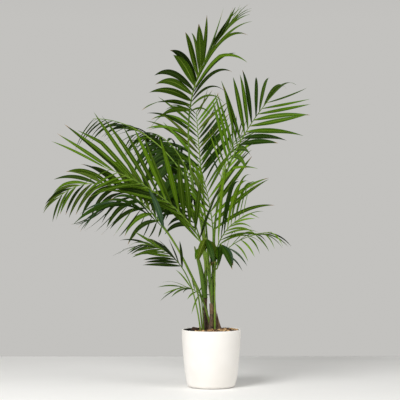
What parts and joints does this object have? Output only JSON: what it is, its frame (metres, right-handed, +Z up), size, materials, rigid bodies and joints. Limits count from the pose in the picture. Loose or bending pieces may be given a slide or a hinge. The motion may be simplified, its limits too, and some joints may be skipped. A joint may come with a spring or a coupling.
{
  "type": "potted kentia palm",
  "caption": "Indoor feather palm with arching fronds of long pointed leaflets on slim stems, standing in a round tapered pot with bark on its soil.",
  "frame": {"origin": "centre of the pot's flat underside, on the ground", "axes": "+Z up along the pot's axis; -Y toward the front; +X to the viewer's right"},
  "size_m": [1.3925, 1.1702, 1.93],
  "materials": {
    "pot": "satin off-white moulded plastic",
    "soil": "dark damp potting mix",
    "bark": "rough orange-brown pine bark",
    "stem": "ringed brown stem with dry leaf-base fibre, green toward its crown",
    "stalk": "smooth light green leaf stalk",
    "frond": "satin mid-green leaflets with a pale midrib"
  },
  "bodies": {
    "root": {"bark_chip_1": "bark", "bark_chip_2": "bark", "bark_chip_3": "bark", "bark_chip_4": "bark", "bark_chip_5": "bark", "bark_chip_6": "bark", "bark_chip_7": "bark", "bark_chip_8": "bark", "frond_centre_back": "frond", "frond_dark_left": "frond", "frond_far_left_inner": "frond", "frond_far_left_outer": "frond", "frond_front": "frond", "frond_front_right": "frond", "frond_inner_front": "frond", "frond_inner_right": "frond", "frond_left_front": "frond", "frond_low_left_inner": "frond", "frond_low_left_outer": "frond", "frond_lower_left": "frond", "frond_lower_right": "frond", "frond_rear": "frond", "frond_rear_left": "frond", "frond_right": "frond", "frond_small_left": "frond", "frond_top": "frond", "frond_upper_left_back": "frond", "pot": "pot", "root_ball": "soil", "stalk_centre_back": "stalk", "stalk_dark_left": "stalk", "stalk_far_left": "stalk", "stalk_front": "stalk", "stalk_front_right": "stalk", "stalk_inner_front": "stalk", "stalk_inner_right": "stalk", "stalk_left_front": "stalk", "stalk_low_left": "stalk", "stalk_lower_left": "stalk", "stalk_lower_right": "stalk", "stalk_rear": "stalk", "stalk_rear_left": "stalk", "stalk_right": "stalk", "stalk_small_left": "stalk", "stalk_top": "stalk", "stalk_upper_left_back": "stalk", "stem_centre": "stem", "stem_left": "stem", "stem_main": "stem"}
  },
  "joints": []
}
